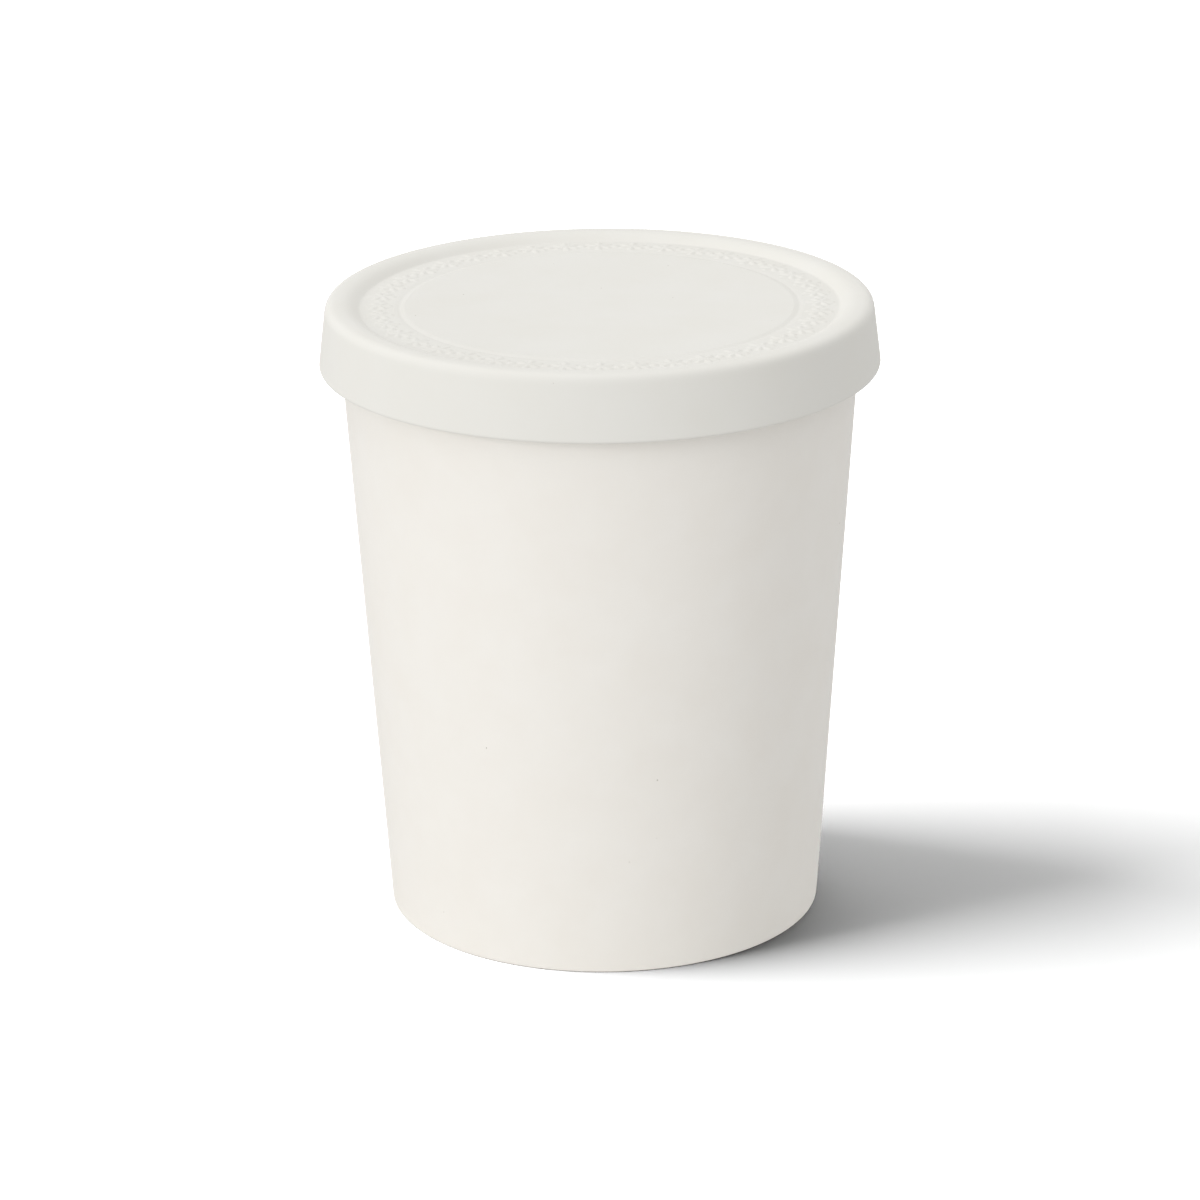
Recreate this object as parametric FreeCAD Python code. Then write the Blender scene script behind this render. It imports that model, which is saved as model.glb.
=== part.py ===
import FreeCAD, Part
import math
import os

# A round ice cream tub with its lid pressed on. The tub is a cone of coated paperboard, rolled over
# at the mouth and folded into a hem at the foot. The lid is moulded plastic: a long skirt, a raised
# rim, and a sunk panel with a ring of snow crystals round its plain middle. The tub is shut, so it
# is solid up to the lid's panel. Millimetres and degrees, +Z up, the origin in the middle of the foot.

# Overall sizes
overall_height = 108.8       # floor to the top of the lid's rim
base_radius = 37.6           # outside of the wall at the floor
wall_draft = 3.84            # lean of the wall, outwards going up

# Tub
board = 0.45                 # coated paperboard
hem_width = 1.5              # the folded foot that the tub stands on
hem_fold = 0.35              # rounding of the folded edge
base_recess = 3.5            # how far the base disc is set up inside the hem
bead_diameter = 1.5          # rolled edge of the mouth

# Lid
lid_wall = 0.7               # panel, rim and upper skirt
lid_clearance = 0.25         # between the rolled edge and the lid
skirt_depth = 11.2           # top of the rim to the lip
skirt_draft = 7.4            # lean of the skirt, outwards going down
lip_wall = 1.2               # thickness of the skirt at its lip
lip_rounding = 0.5
shoulder_rounding = 2.0      # rim to skirt, outside
rim_width = 3.2              # corner to corner, before rounding
rim_wall_run = 1.0           # how far the rim's inner wall leans in
rim_rounding = 1.0
rim_drop = 1.3               # top of the rim to the sunk band
inside_rounding = 0.3
band_width = 8.4             # from the rim's foot to the middle disc
disc_step = 0.25             # the middle disc stands this much above the band
disc_step_run = 0.3
disc_rounding = 0.15

# Raised ring of snow crystals on the band
crystal_size = 4.6           # tip to tip
crystal_arm_width = 0.8
crystal_pitch = 5.9          # along the middle of the band
crystal_height = 0.35
dot_diameter = 1.1           # the bead between two crystals
crystal_root = 0.3           # how far a crystal reaches down into the panel
arms_across = 3              # bars that cross in one crystal

AXIS = FreeCAD.Vector(0, 0, 1)


def tan_deg(angle):
    return math.tan(math.radians(angle))


def rounded_edges(corners):
    """Edges in the XZ plane through (radius, height, rounding) corners, tangent arcs at the corners."""
    points = [FreeCAD.Vector(radius, 0, height) for radius, height, rounding in corners]
    stretches = []
    for index, (radius, height, rounding) in enumerate(corners):
        corner = points[index]
        if rounding == 0:
            stretches.append((corner, None, corner))
            continue
        back = (points[index - 1] - corner).normalize()
        onward = (points[index + 1] - corner).normalize()
        half = back.getAngle(onward) / 2
        reach = rounding / math.tan(half)
        middle_line = (back + onward).normalize()
        middle = corner + middle_line * (rounding / math.sin(half) - rounding)
        stretches.append((corner + back * reach, middle, corner + onward * reach))
    edges = []
    for index, (start, middle, end) in enumerate(stretches):
        if middle:
            edges.append(Part.Arc(start, middle, end).toShape())
        if index + 1 < len(stretches):
            edges.append(Part.LineSegment(end, stretches[index + 1][0]).toShape())
    return edges


def turned(edges):
    """The solid made by turning a closed outline about the axis."""
    face = Part.Face(Part.Wire(edges))
    return face.revolve(FreeCAD.Vector(0, 0, 0), AXIS, 360)


# Heights and radii that the two pieces share
bead_radius = bead_diameter / 2
bead_height = overall_height - lid_wall - lid_clearance - bead_radius
mouth_radius = base_radius + bead_height * tan_deg(wall_draft)
bead_centre = mouth_radius - board + bead_radius
bead_reach = bead_centre + bead_radius
band_height = overall_height - rim_drop
panel_underside = band_height - lid_wall


def make_tub():
    """Wall, hem, base and rolled mouth in one solid, filled up to the lid's panel."""
    inner_face = bead_centre - bead_radius
    hem_inside = base_radius - hem_width

    # The outside of the wall ends where its line meets the underside of the rolled edge
    lean = math.radians(wall_draft)
    line_offset = (mouth_radius - bead_centre) * math.cos(lean)
    half_chord = math.sqrt(bead_radius ** 2 - line_offset ** 2)
    wall_end_radius = bead_centre + line_offset * math.cos(lean) - half_chord * math.sin(lean)
    wall_end_height = bead_height - line_offset * math.sin(lean) - half_chord * math.cos(lean)

    foot = rounded_edges([
        (0, base_recess, 0),
        (hem_inside, base_recess, inside_rounding),
        (hem_inside, 0, hem_fold),
        (base_radius, 0, hem_fold),
        (wall_end_radius, wall_end_height, 0),
    ])
    wall_end = FreeCAD.Vector(wall_end_radius, 0, wall_end_height)
    outermost = FreeCAD.Vector(bead_reach, 0, bead_height)
    innermost = FreeCAD.Vector(inner_face, 0, bead_height)
    rolled_edge = Part.Arc(wall_end, outermost, innermost).toShape()
    fill = rounded_edges([
        (inner_face, bead_height, 0),
        (inner_face, panel_underside, 0),
        (0, panel_underside, 0),
        (0, base_recess, 0),
    ])
    return turned(foot + [rolled_edge] + fill)


def make_bar():
    """One flat bar with round ends, lying along X, as long as a crystal."""
    half_width = crystal_arm_width / 2
    half_run = crystal_size / 2 - half_width
    height = band_height - crystal_root
    corners = [FreeCAD.Vector(x, y, height) for x, y in (
        (-half_run, -half_width), (half_run, -half_width), (half_run, half_width), (-half_run, half_width))]
    right_tip = FreeCAD.Vector(half_run + half_width, 0, height)
    left_tip = FreeCAD.Vector(-half_run - half_width, 0, height)
    wire = Part.Wire([
        Part.LineSegment(corners[0], corners[1]).toShape(),
        Part.Arc(corners[1], right_tip, corners[2]).toShape(),
        Part.LineSegment(corners[2], corners[3]).toShape(),
        Part.Arc(corners[3], left_tip, corners[0]).toShape(),
    ])
    return Part.Face(wire)


def make_crystal():
    """A six-armed crystal: bars that cross in the middle."""
    bar = make_bar()
    bars = []
    for index in range(arms_across):
        turned_bar = bar.copy()
        turned_bar.rotate(FreeCAD.Vector(0, 0, 0), AXIS, index * 180 / arms_across)
        bars.append(turned_bar)
    star = bars[0].fuse(bars[1:]).removeSplitter()
    return star.extrude(AXIS * (crystal_root + crystal_height)).Solids[0]


def make_ring(middle_radius):
    """Crystals and beads in turn, all the way round the band."""
    crystal = make_crystal()
    dot_base = FreeCAD.Vector(0, 0, band_height - crystal_root)
    dot = Part.makeCylinder(dot_diameter / 2, crystal_root + crystal_height, dot_base)
    count = round(2 * math.pi * middle_radius / crystal_pitch)
    pieces = []
    for index in range(count):
        for shape, place in ((crystal, index), (dot, index + 0.5)):
            piece = shape.copy()
            piece.translate(FreeCAD.Vector(middle_radius, 0, 0))
            piece.rotate(FreeCAD.Vector(0, 0, 0), AXIS, place * 360 / count)
            pieces.append(piece)
    return pieces


def make_lid():
    """Skirt, rim, sunk band and middle disc, with the ring of crystals raised on the band."""
    slope = tan_deg(skirt_draft)
    skirt_at_bead = bead_reach + lid_clearance + lid_wall / math.cos(math.radians(skirt_draft))
    shoulder = skirt_at_bead - (overall_height - bead_height) * slope
    lip_height = overall_height - skirt_depth
    lip = shoulder + skirt_depth * slope
    inner_shoulder = bead_reach + lid_clearance
    rim_top = overall_height - lid_wall

    crest_edge = shoulder - rim_width
    band_edge = crest_edge - rim_wall_run
    rim_wall_angle = math.atan2(rim_drop, rim_wall_run)
    rim_shift = lid_wall * math.tan(rim_wall_angle / 2)
    rim_foot = band_edge - rim_rounding * math.tan(rim_wall_angle / 2)
    disc_radius = rim_foot - band_width

    lid = turned(rounded_edges([
        (0, band_height + disc_step, 0),
        (disc_radius - disc_step_run, band_height + disc_step, disc_rounding),
        (disc_radius, band_height, disc_rounding),
        (band_edge, band_height, rim_rounding),
        (crest_edge, overall_height, rim_rounding),
        (shoulder, overall_height, shoulder_rounding),
        (lip, lip_height, lip_rounding),
        (lip - lip_wall, lip_height, lip_rounding),
        (inner_shoulder, rim_top, bead_radius + lid_clearance),
        (crest_edge + rim_shift, rim_top, inside_rounding),
        (band_edge + rim_shift, panel_underside, inside_rounding),
        (0, panel_underside, 0),
        (0, band_height + disc_step, 0),
    ]))
    return lid.fuse(make_ring(disc_radius + band_width / 2)).removeSplitter()


os.makedirs("parts", exist_ok=True)
for node, shape in (("tub", make_tub()), ("lid", make_lid())):
    solid = shape.Solids[0]
    box = solid.optimalBoundingBox(False)
    print(node, "solids", len(shape.Solids), "valid", solid.isValid(), "volume", round(solid.Volume, 1))
    print("   radius", round(box.XMax, 3), "height from", round(box.ZMin, 3), "to", round(box.ZMax, 3))
    solid.exportStep(f"parts/{node}.step")
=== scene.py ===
import bpy
import math
import numpy as np
from mathutils import Matrix, Vector


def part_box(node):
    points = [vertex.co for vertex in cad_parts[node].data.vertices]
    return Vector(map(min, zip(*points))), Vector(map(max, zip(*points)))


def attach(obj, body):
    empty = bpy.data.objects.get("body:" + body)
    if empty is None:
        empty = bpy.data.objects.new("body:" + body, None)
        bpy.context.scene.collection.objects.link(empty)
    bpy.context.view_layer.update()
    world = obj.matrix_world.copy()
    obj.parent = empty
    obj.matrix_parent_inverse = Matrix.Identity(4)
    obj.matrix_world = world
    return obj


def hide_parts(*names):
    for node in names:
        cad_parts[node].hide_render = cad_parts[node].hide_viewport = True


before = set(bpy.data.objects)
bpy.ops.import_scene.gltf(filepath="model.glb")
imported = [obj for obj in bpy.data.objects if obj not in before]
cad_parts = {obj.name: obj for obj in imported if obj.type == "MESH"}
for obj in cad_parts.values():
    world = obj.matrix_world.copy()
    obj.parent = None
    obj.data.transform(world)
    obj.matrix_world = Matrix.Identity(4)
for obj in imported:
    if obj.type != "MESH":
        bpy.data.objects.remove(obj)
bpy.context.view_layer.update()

# ---- Sidewall ------------------------------------------------------------------------------------
# One blank of coated paperboard, wrapped to a cone and sealed along a lap at the back. Its upper edge
# is rolled outwards into a bead, and its lower edge is folded in and up round the base to make the hem.
MM = 0.001                   # a millimetre in metres: the pieces' own sizes are in millimetres
board = 0.45
foot_radius = 37.6
wall_slope = math.tan(math.radians(3.84))
bead_radius = 0.75
bead_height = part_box("tub")[1].z / MM - bead_radius
bead_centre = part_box("tub")[1].x / MM - bead_radius
bead_steps = 24
hem_inside = 36.1
hem_top = 3.25
hem_fold = 0.35              # rounding of the folded edge
slot_floor = 0.5             # bottom of the fold, inside
slot_rounding = 0.1
cut_rounding = 0.12
knurls = 90                  # crimped ribs inside the hem
knurl_depth = 0.06
knurl_foot = 0.4             # the ribs run from this height
knurl_top = hem_top - 0.2    # up to this one
lap_angle = math.radians(104)
lap_step = 0.3
lap_edge = 0.05              # the lap's cut edge rises over this
lap_width = 8.0
lap_ease = 9.0               # past the lap the wall runs back to the cone over this
wall_skin = 0.4 * board      # what lies this near the wall's outside moves with the lap
hem_skin = 0.2 * board       # and what lies this near the hem's inside with the ribs
wall_columns = 720           # points round the wall


def rounded_outline(corners, degrees_per_step=11, hold=0.12, longest_run=14):
    """(radius, height) points through (radius, height, rounding) corners, with an arc at each rounding.
    Holding points stand beside each arc, and long runs are divided."""
    places = [Vector(corner[:2]) for corner in corners]
    reaches = []
    for index, (radius, height, rounding) in enumerate(corners):
        if rounding == 0:
            reaches.append(0)
            continue
        half = (places[index - 1] - places[index]).angle(places[index + 1] - places[index]) / 2
        reaches.append(rounding / math.tan(half))
    points = []
    for index, (radius, height, rounding) in enumerate(corners):
        here = places[index]
        if rounding == 0:
            points.append(here)
            continue
        back = (places[index - 1] - here).normalized()
        onward = (places[index + 1] - here).normalized()
        room_back = (places[index - 1] - here).length - reaches[index] - reaches[index - 1]
        room_onward = (places[index + 1] - here).length - reaches[index] - reaches[index + 1]
        middle_line = (back + onward).normalized()
        centre = here + middle_line * (rounding / math.sin(back.angle(onward) / 2))
        start = here + back * reaches[index] - centre
        end = here + onward * reaches[index] - centre
        first_turn = math.atan2(start.y, start.x)
        sweep = (math.atan2(end.y, end.x) - first_turn + math.pi) % (2 * math.pi) - math.pi
        steps = max(2, math.ceil(abs(math.degrees(sweep)) / degrees_per_step))
        points.append(centre + start + back * min(hold, room_back / 3))
        for step in range(steps + 1):
            turn = first_turn + sweep * step / steps
            points.append(centre + Vector((math.cos(turn), math.sin(turn))) * rounding)
        points.append(centre + end + onward * min(hold, room_onward / 3))
    divided = []
    for here, following in zip(points, points[1:]):
        pieces = math.ceil((following - here).length / longest_run)
        divided += [here.lerp(following, step / pieces) for step in range(pieces)]
    return divided + [points[-1]]


def even_turns(count):
    """Angles spaced evenly all the way round."""
    return np.linspace(0, 2 * math.pi, count, endpoint=False)


def turned_piece(name, rings, closed, relief=None):
    """A smooth mesh object turned from (radius, height, angles) rings, in order up the outside.
    relief(radius, height, angles) gives what is added to the radius and to the height."""
    vertices, firsts, sizes = [], [], []
    for radius, height, angles in rings:
        firsts.append(len(vertices))
        if radius == 0:
            vertices.append((0, 0, height * MM))
            sizes.append(1)
            continue
        outwards, upwards = relief(radius, height, angles) if relief else (0, 0)
        reach = (radius + outwards) * MM * np.ones(len(angles))
        lift = (height + upwards) * MM * np.ones(len(angles))
        vertices += list(zip(reach * np.cos(angles), reach * np.sin(angles), lift))
        sizes.append(len(angles))
    pairs = [(index, index + 1) for index in range(len(rings) - 1)]
    if closed:
        pairs.append((len(rings) - 1, 0))
    faces = []
    for low, high in pairs:
        columns = min(size for size in (sizes[low], sizes[high]) if size > 1)
        for column in range(columns):
            loop = []
            for ring, way in ((low, 1), (high, -1)):
                share = sizes[ring] // columns
                first = column * share
                along = [firsts[ring] + place % sizes[ring] for place in range(first, first + share + 1)]
                loop += along[::way]
            faces.append(loop)
    mesh = bpy.data.meshes.new(name)
    mesh.from_pydata(vertices, [], faces)
    mesh.shade_smooth()
    piece = bpy.data.objects.new(name, mesh)
    bpy.context.scene.collection.objects.link(piece)
    return piece


def smooth_step(share):
    """A share from 0 to 1 with level ends."""
    return share * share * (3 - 2 * share)


def lap_and_knurl(radius, height, angles):
    """The lap's step on the outside of the wall, and the crimped ribs inside the hem."""
    wall_line = foot_radius + height * wall_slope
    if radius > wall_line - wall_skin and height < bead_height - bead_radius:
        run = ((angles - lap_angle + math.pi) % (2 * math.pi) - math.pi) * wall_line
        rise = np.clip(run / lap_edge, 0, 1)
        ease = np.clip((lap_width + lap_ease - run) / lap_ease, 0, 1)
        return lap_step * rise * smooth_step(ease), 0
    if radius < hem_inside + hem_skin and knurl_foot < height < knurl_top:
        return -knurl_depth * (0.5 + 0.5 * np.cos(knurls * angles)), 0
    return 0, 0


# The bead starts under the roll, at the outside of the wall, and runs over the top to the inside
line_offset = (board - bead_radius) * math.cos(math.atan(wall_slope))
bead_start = -math.acos(line_offset / bead_radius) - math.atan(wall_slope)
bead = [(bead_centre + bead_radius * math.cos(turn), bead_height + bead_radius * math.sin(turn))
        for turn in np.linspace(bead_start, math.pi, bead_steps)]
wall_outline = rounded_outline([
    (*bead[-1], 0),
    (foot_radius - board + slot_floor * wall_slope, slot_floor, slot_rounding),
    (hem_inside + board, slot_floor, slot_rounding),
    (hem_inside + board, hem_top, cut_rounding),
    (hem_inside, hem_top, cut_rounding),
    (hem_inside, 0, hem_fold),
    (foot_radius, 0, hem_fold),
    (*bead[0], 0),
]) + [Vector(point) for point in bead[1:-1]]

# More points beside the lap keep its cut edge sharp
lap_turns = [lap_angle + run / foot_radius for run in (-0.4, -0.1, 0, lap_edge, 0.15, 0.45)]
wall_turns = np.unique(np.concatenate([even_turns(wall_columns), lap_turns]))
tub_wall = turned_piece("tub_wall", [(*point, wall_turns) for point in wall_outline], True, lap_and_knurl)


def node(tree, kind, place, **values):
    """One shader node at a place in the tree, with its settings and input values."""
    made = tree.nodes.new(kind)
    made.location = place
    for name, value in values.items():
        label = name.replace("_", " ")
        if label in made.inputs:
            made.inputs[label].default_value = value
        else:
            setattr(made, name, value)
    return made


def new_group(name, inputs, outputs):
    """An empty shader node group with number inputs and outputs."""
    group = bpy.data.node_groups.new(name, "ShaderNodeTree")
    for label, value in inputs.items():
        socket = group.interface.new_socket(label, in_out="INPUT", socket_type="NodeSocketFloat")
        socket.default_value = value
    for label in outputs:
        group.interface.new_socket(label, in_out="OUTPUT", socket_type="NodeSocketFloat")
    entry = node(group, "NodeGroupInput", (-900, 0))
    ending = node(group, "NodeGroupOutput", (500, 0))
    return group, entry, ending


def texture_at_size(group, size, kind, row, **values):
    """A texture node whose pattern is as large as the size socket says, in millimetres."""
    place_of = node(group, "ShaderNodeTexCoord", (-900, row + 150))
    scale = node(group, "ShaderNodeMath", (-650, row), operation="DIVIDE")
    scale.inputs[0].default_value = 1 / MM
    texture = node(group, kind, (-400, row), **values)
    group.links.new(size, scale.inputs[1])
    group.links.new(place_of.outputs["Object"], texture.inputs["Vector"])
    group.links.new(scale.outputs[0], texture.inputs["Scale"])
    return texture


# A cloudy tone with a fine grain on top: Tone goes from 0 to 1 over the clouds, and Grain is for a bump
mottle, mottle_in, mottle_out = new_group(
    "surface_mottle", {"Cloud Size": 7.0, "Grain Size": 0.4}, ["Tone", "Grain"])
cloud = texture_at_size(mottle, mottle_in.outputs["Cloud Size"], "ShaderNodeTexNoise", 200,
                        Detail=3.0, Roughness=0.55)
grain = texture_at_size(mottle, mottle_in.outputs["Grain Size"], "ShaderNodeTexNoise", -200,
                        Detail=4.0, Roughness=0.6)
tone = node(mottle, "ShaderNodeMapRange", (-100, 200), From_Min=0.3, From_Max=0.7)
mottle.links.new(cloud.outputs["Fac"], tone.inputs["Value"])
mottle.links.new(tone.outputs["Result"], mottle_out.inputs["Tone"])
mottle.links.new(grain.outputs["Fac"], mottle_out.inputs["Grain"])

# A few dark specks of dust: one cell in so many, given by Share, holds a speck, and Speck is 1 on it
dust, dust_in, dust_out = new_group(
    "dust_specks", {"Spacing": 4.0, "Radius": 0.03, "Share": 0.25}, ["Speck"])
dust_cells = texture_at_size(dust, dust_in.outputs["Spacing"], "ShaderNodeTexVoronoi", 200)
near = node(dust, "ShaderNodeMath", (-150, 250), operation="LESS_THAN")
cell_value = node(dust, "ShaderNodeSeparateColor", (-150, 50))
kept = node(dust, "ShaderNodeMath", (50, 50), operation="LESS_THAN")
speck = node(dust, "ShaderNodeMath", (250, 150), operation="MULTIPLY")
dust.links.new(dust_cells.outputs["Distance"], near.inputs[0])
dust.links.new(dust_in.outputs["Radius"], near.inputs[1])
dust.links.new(dust_cells.outputs["Color"], cell_value.inputs["Color"])
dust.links.new(cell_value.outputs["Red"], kept.inputs[0])
dust.links.new(dust_in.outputs["Share"], kept.inputs[1])
dust.links.new(near.outputs[0], speck.inputs[0])
dust.links.new(kept.outputs[0], speck.inputs[1])
dust.links.new(speck.outputs[0], dust_out.inputs["Speck"])
dust_colour = (0.45, 0.42, 0.36, 1)
gloss_spread = 0.03          # the roughness goes this far up and down over the clouds


def matte_finish(name, light, dark, roughness, specular, cloud_size, grain_size, grain_depth):
    """A pale material between two close tones, with a fine grained bump and a few specks of dust."""
    material = bpy.data.materials.new(name)
    material.use_nodes = True
    tree = material.node_tree
    skin = tree.nodes["Principled BSDF"]
    skin.inputs["Specular IOR Level"].default_value = specular
    clouds = node(tree, "ShaderNodeGroup", (-1000, 200), node_tree=mottle)
    clouds.inputs["Cloud Size"].default_value = cloud_size
    clouds.inputs["Grain Size"].default_value = grain_size
    specks = node(tree, "ShaderNodeGroup", (-1000, -100), node_tree=dust)
    paint = node(tree, "ShaderNodeMix", (-700, 300), data_type="RGBA")
    paint.inputs["A"].default_value = (*light, 1)
    paint.inputs["B"].default_value = (*dark, 1)
    dusty = node(tree, "ShaderNodeMix", (-400, 300), data_type="RGBA")
    dusty.inputs["B"].default_value = dust_colour
    rough = node(tree, "ShaderNodeMapRange", (-700, 0),
                 To_Min=roughness - gloss_spread, To_Max=roughness + gloss_spread)
    bump = node(tree, "ShaderNodeBump", (-400, -200), Strength=1.0, Distance=grain_depth * MM)
    tree.links.new(clouds.outputs["Tone"], paint.inputs["Factor"])
    tree.links.new(paint.outputs["Result"], dusty.inputs["A"])
    tree.links.new(specks.outputs["Speck"], dusty.inputs["Factor"])
    tree.links.new(dusty.outputs["Result"], skin.inputs["Base Color"])
    tree.links.new(clouds.outputs["Tone"], rough.inputs["Value"])
    tree.links.new(rough.outputs["Result"], skin.inputs["Roughness"])
    tree.links.new(clouds.outputs["Grain"], bump.inputs["Height"])
    tree.links.new(bump.outputs["Normal"], skin.inputs["Normal"])
    return material


board_white = matte_finish(
    "coated_board",
    light=(0.875, 0.85, 0.80),
    dark=(0.86, 0.83, 0.775),
    roughness=0.5,
    specular=0.5,
    cloud_size=9.0,
    grain_size=0.5,
    grain_depth=0.006,
)
tub_wall.data.materials.append(board_white)
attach(tub_wall, "root")
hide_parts("tub")

# ---- Base ----------------------------------------------------------------------------------------
# A disc of the same board, pressed to a shallow dish with its rim turned down. The rim stands in the
# fold of the hem, so the disc itself is held up off the floor.
base_underside = 3.5
base_flange = hem_inside + board + 0.07
base_rounding = 0.25
base_outer_rounding = 0.6
flange_foot = slot_floor + 0.2
base_columns = 240
base_outline = rounded_outline([
    (0, base_underside, 0),
    (base_flange, base_underside, base_rounding),
    (base_flange, flange_foot, slot_rounding),
    (base_flange + board, flange_foot, slot_rounding),
    (base_flange + board, base_underside + board, base_outer_rounding),
    (0, base_underside + board, 0),
])
tub_base = turned_piece("tub_base", [(*point, even_turns(base_columns)) for point in base_outline], False)
tub_base.data.materials.append(board_white)
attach(tub_base, "root")

# ---- Lid -----------------------------------------------------------------------------------------
# One moulding in matte white plastic. A flared skirt hangs outside the rolled mouth, the rim is full
# and rounded, and the sunk panel has a ring of snow crystals and beads raised round its middle disc.
rim_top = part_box("lid")[1].z / MM
lip_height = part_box("lid")[0].z / MM
lid_wall = 0.7
lid_clearance = 0.25         # between the bead and the lid
skirt_slope = math.tan(math.radians(7.4))
shoulder = bead_centre + bead_radius + lid_clearance + lid_wall * math.hypot(1, skirt_slope)
shoulder -= (rim_top - bead_height) * skirt_slope
lip = shoulder + (rim_top - lip_height) * skirt_slope
lip_wall = 1.2
lip_rounding = 0.5
shoulder_run = 1.9           # the rounded shoulder starts this far in
shoulder_fall = 1.8          # and ends this far down
shoulder_power = 0.77        # 1 would be an ellipse, and less is fuller
shoulder_swell = 0.08        # how far it stands outside the skirt's own line
shoulder_points = 14
rim_width = 3.2
rim_wall_run = 1.0
rim_drop = 1.3               # top of the rim to the sunk band
inside_rounding = 0.3
band_height = rim_top - rim_drop
panel_underside = band_height - lid_wall
crest_inside = shoulder - rim_width + lid_wall * math.tan(math.atan2(rim_drop, rim_wall_run) / 2)
band_inside = crest_inside - rim_wall_run
rim_inner_side = (           # in from the shoulder, down from the top, and rounding
    (2.6, 0, 5.0),
    (3.5, 0.12, 3.5),
    (4.37, 0.458, 4.0),
    (5.67, rim_drop, 0.8),
)
rim_foot = shoulder - 6.0    # the band is flat from here in to the groove
groove_edge = shoulder - 11.65
groove_bottom = shoulder - 12.5
groove_depth = 0.1
disc_edge = shoulder - 13.4
disc_step = 0.08             # the disc stands this much above the band
disc_rounding = 1.0
flatness = 0.001             # heights as near as this are level
ring_radius = shoulder - 8.89
crystals = 40
crystal_reach = 2.3          # middle to tip
crystal_height = 0.19
arms = 6
arm_half_width = 0.4
bead_half_width = 0.55       # the small beads between the crystals
relief_edge = 0.36           # half the width of the soft edge round them
ring_circles = 34
ring_columns = 1440          # points round each of them
lid_columns = 288            # and round the rest of the lid


def crystal_ring(radius, height, angles):
    """Height of the crystals and beads on the band at one radius."""
    if height < band_height - flatness or abs(radius - ring_radius) > crystal_reach + relief_edge:
        return 0, 0
    pitch = 2 * math.pi / crystals
    turn = (angles + pitch / 2) % pitch - pitch / 2
    x = radius * np.cos(turn) - ring_radius
    y = radius * np.sin(turn)
    arm = 2 * math.pi / arms
    folded = np.abs((np.arctan2(y, x) + arm / 2) % arm - arm / 2)
    spread = np.hypot(x, y)
    along = spread * np.cos(folded)
    past_tip = along - np.clip(along, 0, crystal_reach - arm_half_width)
    inside = arm_half_width - np.hypot(past_tip, spread * np.sin(folded))
    bead_turn = angles % pitch - pitch / 2
    from_bead = np.hypot(radius * np.cos(bead_turn) - ring_radius, radius * np.sin(bead_turn))
    inside = np.maximum(inside, bead_half_width - from_bead)
    return 0, crystal_height * smooth_step(np.clip(inside / relief_edge * 0.5 + 0.5, 0, 1))


shoulder_curve = []
for turn in np.linspace(math.pi / 2, 0, shoulder_points):
    drop = shoulder_fall * (1 - math.cos(turn) ** shoulder_power)
    inset = shoulder_run * (1 - math.sin(turn) ** shoulder_power)
    shoulder_curve.append((shoulder + shoulder_swell - inset + drop * skirt_slope, rim_top - drop, 0))
lid_outline = rounded_outline([
    (0, panel_underside, 0),
    (band_inside, panel_underside, inside_rounding),
    (crest_inside, rim_top - lid_wall, inside_rounding),
    (bead_centre + bead_radius + lid_clearance, rim_top - lid_wall, bead_radius + lid_clearance),
    (lip - lip_wall, lip_height, lip_rounding),
    (lip, lip_height, lip_rounding),
    *shoulder_curve,
    *[(shoulder - inset, rim_top - drop, rounding) for inset, drop, rounding in rim_inner_side],
    (groove_edge, band_height, 0),
    (groove_bottom, band_height - groove_depth, disc_rounding),
    (disc_edge, band_height + disc_step, disc_rounding),
    (0, band_height + disc_step, 0),
], degrees_per_step=9, longest_run=12)

# Under the crystals the band has closer circles with more points
ring_half_width = crystal_reach + relief_edge
ring_circle_radii = np.linspace(ring_radius + ring_half_width, ring_radius - ring_half_width, ring_circles)
on_band = [index for index, point in enumerate(lid_outline)
           if abs(point.y - band_height) < flatness and groove_bottom < point.x < rim_foot]
outer_margin = max(index for index in on_band if lid_outline[index].x > ring_circle_radii[0])
inner_margin = min(index for index in on_band if lid_outline[index].x < ring_circle_radii[-1])
lid_rings = [(*point, even_turns(lid_columns)) for point in lid_outline]
fine_rings = [(radius, band_height, even_turns(ring_columns)) for radius in ring_circle_radii]
lid_rings = lid_rings[:outer_margin + 1] + fine_rings + lid_rings[inner_margin:]
tub_lid = turned_piece("tub_lid", lid_rings, False, crystal_ring)
lid_white = matte_finish(
    "lid_plastic",
    light=(0.783, 0.772, 0.731),
    dark=(0.774, 0.761, 0.714),
    roughness=0.5,
    specular=0.1,
    cloud_size=11.0,
    grain_size=0.3,
    grain_depth=0.004,
)
tub_lid.data.materials.append(lid_white)
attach(tub_lid, "root")
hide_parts("lid")

# ---- Floor ---------------------------------------------------------------------------------------
# A plain white sweep of matte paper under the tub. It is dark to the camera's rays and white to all
# others, so that strong lamps of its own can whiten it and cast the tub's shadow, and light only it.
floor_half = 12.0            # metres
floor_seen = 0.1
floor_bounce = 0.93
floor_mesh = bpy.data.meshes.new("floor")
floor_corners = [(x * floor_half, y * floor_half, 0) for x, y in ((-1, -1), (1, -1), (1, 1), (-1, 1))]
floor_mesh.from_pydata(floor_corners, [], [(0, 1, 2, 3)])
floor = bpy.data.objects.new("floor", floor_mesh)
bpy.context.scene.collection.objects.link(floor)


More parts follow.
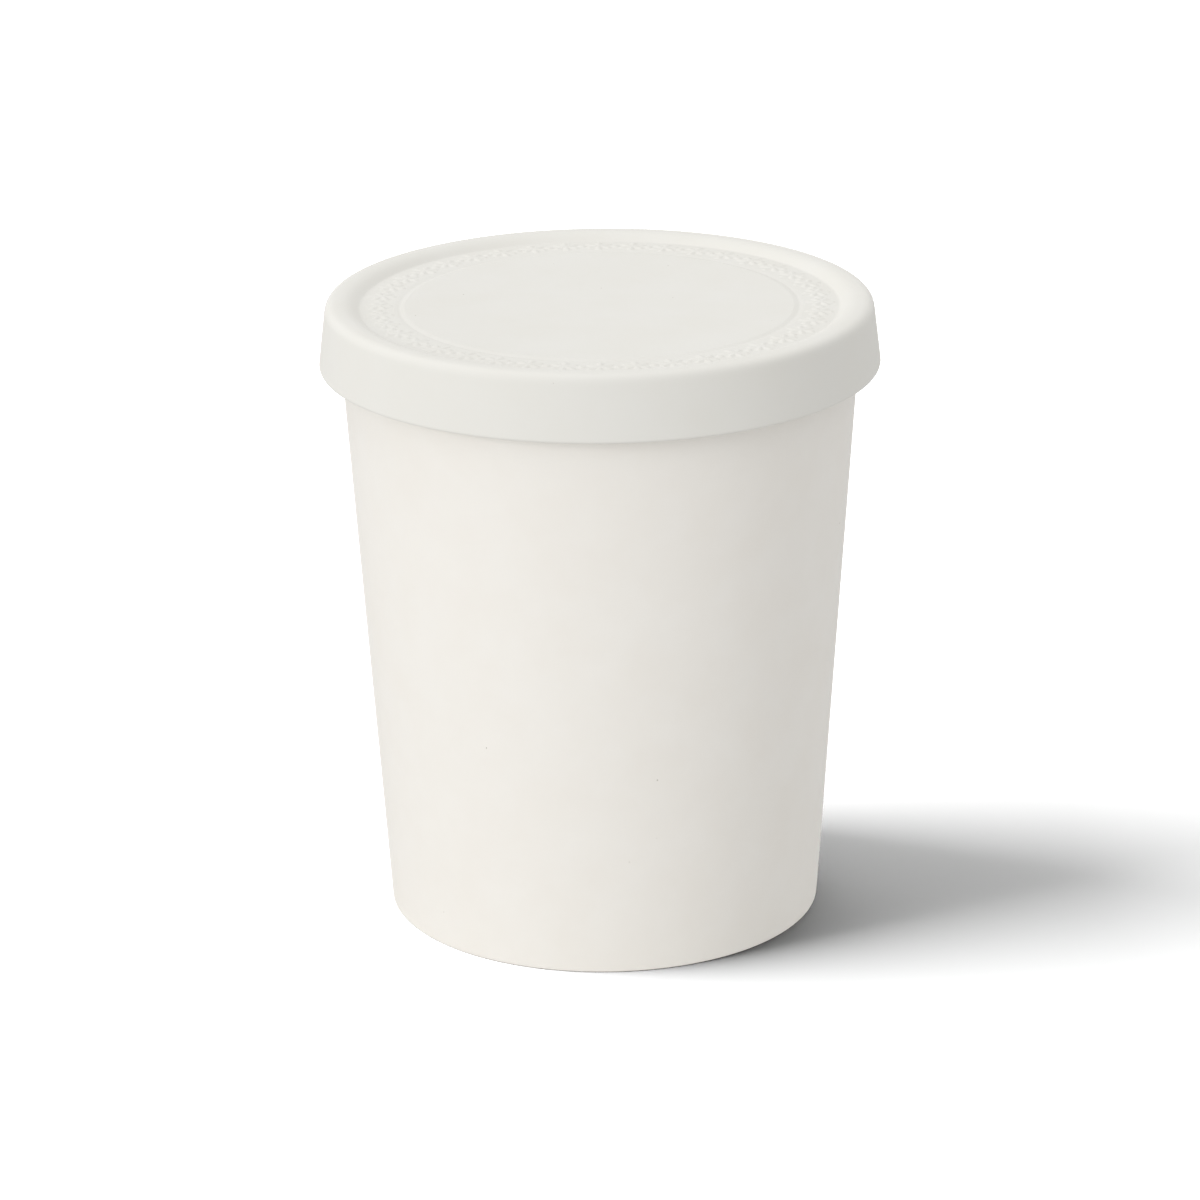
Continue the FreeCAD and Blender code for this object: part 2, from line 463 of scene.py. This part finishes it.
def switch_by_ray(tree, kinds, to_others, to_kinds):
    """A value that differs between the named kinds of ray and all others."""
    rays = node(tree, "ShaderNodeLightPath", (-1200, 0))
    socket = rays.outputs[kinds[0]]
    for place, kind in enumerate(kinds[1:]):
        either = node(tree, "ShaderNodeMath", (-1000 + 200 * place, 0), operation="MAXIMUM")
        tree.links.new(socket, either.inputs[0])
        tree.links.new(rays.outputs[kind], either.inputs[1])
        socket = either.outputs[0]
    switch = node(tree, "ShaderNodeMapRange", (-400, 0), To_Min=to_others, To_Max=to_kinds)
    tree.links.new(socket, switch.inputs["Value"])
    return switch.outputs["Result"]


floor_white = bpy.data.materials.new("floor_white")
floor_white.use_nodes = True
floor_skin = floor_white.node_tree.nodes["Principled BSDF"]
floor_skin.inputs["Roughness"].default_value = 0.9
floor_skin.inputs["Specular IOR Level"].default_value = 0
floor_tone = switch_by_ray(floor_white.node_tree, ["Is Camera Ray"], floor_bounce, floor_seen)
floor_white.node_tree.links.new(floor_tone, floor_skin.inputs["Base Color"])
floor_mesh.materials.append(floor_white)

# ---- Light ---------------------------------------------------------------------------------------
# An even white room, with two soft boxes for the tub: one low on its left, one high behind it. Four
# large boxes light the floor alone: two on the left cast the tub's shadow, and two behind soften it.
room_light = 0.755
room_seen = 1.0
world = bpy.data.worlds.new("room")
bpy.context.scene.world = world
world.use_nodes = True
background = world.node_tree.nodes["Background"]
background.inputs["Color"].default_value = (1, 1, 1, 1)
seen_rays = ["Is Camera Ray", "Is Glossy Ray", "Is Transmission Ray"]
room_tone = switch_by_ray(world.node_tree, seen_rays, room_light, room_seen)
world.node_tree.links.new(room_tone, background.inputs["Strength"])


def soft_box(name, left, height, width, tall, distance, level, lit):
    """A rectangular lamp turned to the tub. left and height are degrees from the front and the floor.
    level is how bright it makes a white card that faces it, and lit lists what it lights."""
    data = bpy.data.lights.new(name, "AREA")
    data.shape = "RECTANGLE"
    data.size = width
    data.size_y = tall
    data.energy = level * (math.pi * distance) ** 2
    lamp = bpy.data.objects.new(name, data)
    across, up = math.radians(left), math.radians(height)
    away = Vector((-math.sin(across) * math.cos(up), -math.cos(across) * math.cos(up), math.sin(up)))
    lamp.location = away * distance + Vector((0, 0, rim_top * MM / 2))
    lamp.rotation_euler = away.to_track_quat("Z", "Y").to_euler()
    lamp.visible_camera = False
    bpy.context.scene.collection.objects.link(lamp)
    receivers = bpy.data.collections.new(name + "_lights")
    for thing in lit:
        receivers.objects.link(thing)
    lamp.light_linking.receiver_collection = receivers
    return lamp


for name, left, height, width, tall, distance, level in (
        ("shadow_box_low", 88, 38, 4.45, 1.4, 5.0, 15.9),
        ("shadow_box_high", 88, 50, 4.45, 3.64, 5.0, 8.3),
        ("floor_box_left", 160, 45, 6.0, 4.0, 4.0, 2.85),
        ("floor_box_right", 190, 45, 6.0, 4.0, 4.0, 5.05)):
    floor_box = soft_box(name, left, height, width, tall, distance, level, [floor])
    floor_box.data.cycles.max_bounces = 0
    floor_box.data.cycles.use_multiple_importance_sampling = False
tub_pieces = [tub_wall, tub_base, tub_lid]
soft_box("left_box", 45, 15, 2.0, 2.4, 5.0, 0.335, tub_pieces)
soft_box("back_box", 150, 62, 4.0, 3.0, 5.0, 0.26, tub_pieces)

# ---- Camera --------------------------------------------------------------------------------------
# A long lens looking down on the tub from the front, leaning half a degree to the right.
pitch = math.radians(19.44)
lean = math.radians(-0.55)
aim = Vector((-0.000375, 0, 0.05407))
camera_distance = 0.8161
camera_data = bpy.data.cameras.new("camera")
camera_data.sensor_width = 36
camera_data.lens = 140.56
camera_data.clip_end = 100
camera = bpy.data.objects.new("camera", camera_data)
forward = Vector((0, math.cos(pitch), -math.sin(pitch)))
level_right = Vector((1, 0, 0))
level_up = Vector((0, math.sin(pitch), math.cos(pitch)))
right = level_right * math.cos(lean) + level_up * math.sin(lean)
up = level_up * math.cos(lean) - level_right * math.sin(lean)
facing = Matrix((right, up, -forward)).transposed().to_4x4()
camera.matrix_world = Matrix.Translation(aim - forward * camera_distance) @ facing
bpy.context.scene.collection.objects.link(camera)
bpy.context.scene.camera = camera
bpy.context.scene.view_settings.view_transform = "Standard"
